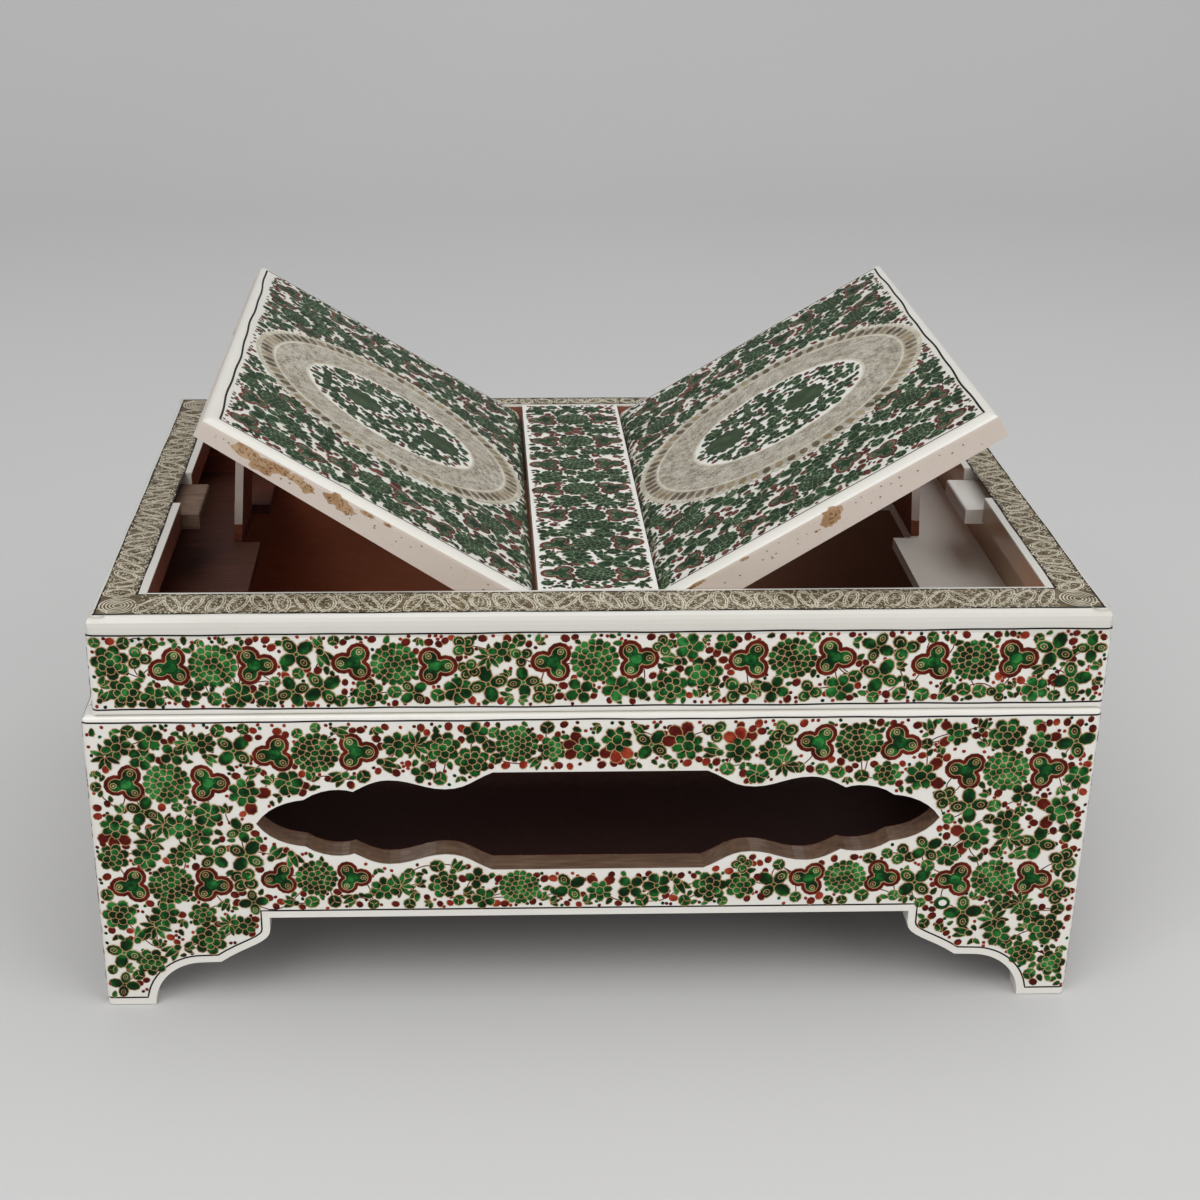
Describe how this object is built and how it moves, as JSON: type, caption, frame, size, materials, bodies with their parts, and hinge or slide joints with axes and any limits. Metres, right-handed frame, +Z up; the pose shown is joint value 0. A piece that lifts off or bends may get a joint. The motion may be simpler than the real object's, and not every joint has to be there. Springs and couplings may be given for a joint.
{
  "type": "papier-mache box with folding book rest",
  "caption": "Painted papier-mache box on bracket feet with a cusped front window and a hinged lid whose leaves open into a sloping book rest.",
  "frame": {"origin": "on the surface the feet stand on, at the middle of the outline", "axes": "+X to the right seen from the front, +Y to the back with the front face at -Y, +Z up"},
  "size_m": [0.356, 0.243, 0.2198],
  "materials": {
    "painted_lacquer": "off-white painted papier-mache over wood, under a gloss lacquer, with green, dark red and gold flowers",
    "stained_wood": "matt dark brown stain",
    "bare_wood": "bare, unfinished",
    "brass": "dull rolled brass"
  },
  "bodies": {
    "base": {"base_back_panel": "painted_lacquer", "base_floor": "stained_wood", "base_front_panel": "painted_lacquer", "base_left_panel": "painted_lacquer", "base_right_panel": "painted_lacquer", "foot_block_back_left": "bare_wood", "foot_block_back_right": "bare_wood", "foot_block_front_left": "bare_wood", "foot_block_front_right": "bare_wood", "lid_hinge_left_base_plate": "brass", "lid_hinge_left_base_screw_1": "brass", "lid_hinge_left_base_screw_2": "brass", "lid_hinge_left_pin": "brass", "lid_hinge_right_base_plate": "brass", "lid_hinge_right_base_screw_1": "brass", "lid_hinge_right_base_screw_2": "brass", "lid_hinge_right_pin": "brass"},
    "lid": {"centre_strip": "painted_lacquer", "frame_back_rail": "painted_lacquer", "frame_front_rail": "painted_lacquer", "frame_left_rail": "painted_lacquer", "frame_right_rail": "painted_lacquer", "left_prop_ledge": "stained_wood", "left_rest_tab": "bare_wood", "lid_back_board": "painted_lacquer", "lid_front_board": "painted_lacquer", "lid_hinge_left_lid_plate": "brass", "lid_hinge_left_lid_screw_1": "brass", "lid_hinge_left_lid_screw_2": "brass", "lid_hinge_right_lid_plate": "brass", "lid_hinge_right_lid_screw_1": "brass", "lid_hinge_right_lid_screw_2": "brass", "lid_left_board": "painted_lacquer", "lid_right_board": "painted_lacquer", "right_prop_ledge": "painted_lacquer", "right_rest_tab": "painted_lacquer", "strip_dowel_back": "bare_wood", "strip_dowel_front": "bare_wood"},
    "leaf_left": {"left_leaf_board": "painted_lacquer", "left_leaf_pin_back": "brass", "left_leaf_pin_front": "brass", "left_prop_hinge_leaf_plate": "brass", "left_prop_hinge_leaf_screw_1": "brass", "left_prop_hinge_leaf_screw_2": "brass", "left_prop_hinge_pin": "brass"},
    "leaf_right": {"right_leaf_board": "painted_lacquer", "right_leaf_pin_back": "brass", "right_leaf_pin_front": "brass", "right_prop_hinge_leaf_plate": "brass", "right_prop_hinge_leaf_screw_1": "brass", "right_prop_hinge_leaf_screw_2": "brass", "right_prop_hinge_pin": "brass"},
    "prop_left": {"left_prop_board": "painted_lacquer", "left_prop_hinge_prop_plate": "brass", "left_prop_hinge_prop_screw_1": "brass", "left_prop_hinge_prop_screw_2": "brass"},
    "prop_right": {"right_prop_board": "painted_lacquer", "right_prop_hinge_prop_plate": "brass", "right_prop_hinge_prop_screw_1": "brass", "right_prop_hinge_prop_screw_2": "brass"}
  },
  "joints": [
    {"name": "lid_hinge", "type": "hinge", "parent": "base", "child": "lid", "pos_m": [0, 0.119, 0.11935], "axis": [-1, 0, 0], "range_deg": [0, 105]},
    {"name": "left_leaf_pivot", "type": "hinge", "parent": "lid", "child": "leaf_left", "pos_m": [-0.0268, 0.003, 0.1501], "axis": [0, 1, 0], "range_deg": [-31.2, 0]},
    {"name": "right_leaf_pivot", "type": "hinge", "parent": "lid", "child": "leaf_right", "pos_m": [0.0308, 0.003, 0.1501], "axis": [0, -1, 0], "range_deg": [-31.2, 0]},
    {"name": "left_prop_hinge", "type": "hinge", "parent": "leaf_left", "child": "prop_left", "pos_m": [-0.12913, 0.0465, 0.20699], "axis": [0, -1, 0], "range_deg": [0, 61]},
    {"name": "right_prop_hinge", "type": "hinge", "parent": "leaf_right", "child": "prop_right", "pos_m": [0.13395, 0.0465, 0.20564], "axis": [0, 1, 0], "range_deg": [0, 61]}
  ],
  "couplings": [
    {"joint": "left_prop_hinge", "follows": "left_leaf_pivot", "ratio": -1.95},
    {"joint": "right_prop_hinge", "follows": "right_leaf_pivot", "ratio": -1.95}
  ]
}
